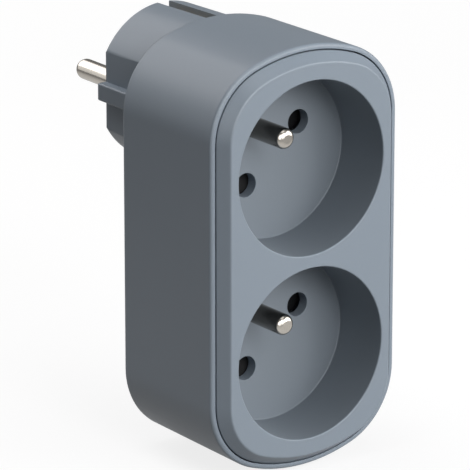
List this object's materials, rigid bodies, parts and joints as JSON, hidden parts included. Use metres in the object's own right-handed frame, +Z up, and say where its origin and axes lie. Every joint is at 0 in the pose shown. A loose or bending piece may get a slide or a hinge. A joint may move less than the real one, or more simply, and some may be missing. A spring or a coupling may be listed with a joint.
{
  "type": "double socket adapter",
  "caption": "Upright plug-in adapter: rounded housing, bevelled front with round recessed sockets, each with an earth pin and a turning shutter, and a round plug high on the back.",
  "frame": {"origin": "midway between the plug pins, on the flat face of the plug", "axes": "+X to the right seen from the front, +Y out of the plug towards the wall, +Z up; the sockets face -Y"},
  "size_m": [0.0514, 0.0749, 0.0978],
  "materials": {
    "body_plastic": "satin",
    "shutter_plastic": "satin",
    "plate_plastic": "satin",
    "brass": "satin",
    "nickel": "polished",
    "zinc_steel": "satin",
    "spring_steel": "satin"
  },
  "bodies": {
    "adapter": {"rear_housing": "body_plastic", "front_cover": "body_plastic", "shutter_plate_upper": "plate_plastic", "shutter_plate_lower": "plate_plastic", "live_bar": "brass", "neutral_bar": "brass", "earth_bar": "brass", "plug_earth_strap": "brass", "plug_earth_sleeve": "brass", "earth_rivet": "brass", "live_sleeve_upper": "brass", "live_sleeve_lower": "brass", "neutral_sleeve_upper": "brass", "neutral_sleeve_lower": "brass", "plug_pin_left": "nickel", "plug_pin_right": "nickel", "earth_pin_upper": "nickel", "earth_pin_lower": "nickel", "housing_screws": "zinc_steel", "shutter_spring_upper": "spring_steel", "shutter_spring_lower": "spring_steel"},
    "upper_shutter": {"shutter_upper": "shutter_plastic"},
    "lower_shutter": {"shutter_lower": "shutter_plastic"}
  },
  "joints": [
    {"name": "upper_shutter_turn", "type": "hinge", "parent": "adapter", "child": "upper_shutter", "pos_m": [0, -0.03695, -0.0079], "axis": [0, -1, 0], "range_deg": [0, 38], "stiffness_Nm_per_rad": 0.0006, "deforming": ["shutter_spring_upper"]},
    {"name": "lower_shutter_turn", "type": "hinge", "parent": "adapter", "child": "lower_shutter", "pos_m": [0, -0.03695, -0.0509], "axis": [0, -1, 0], "range_deg": [0, 38], "stiffness_Nm_per_rad": 0.0006, "deforming": ["shutter_spring_lower"]}
  ]
}
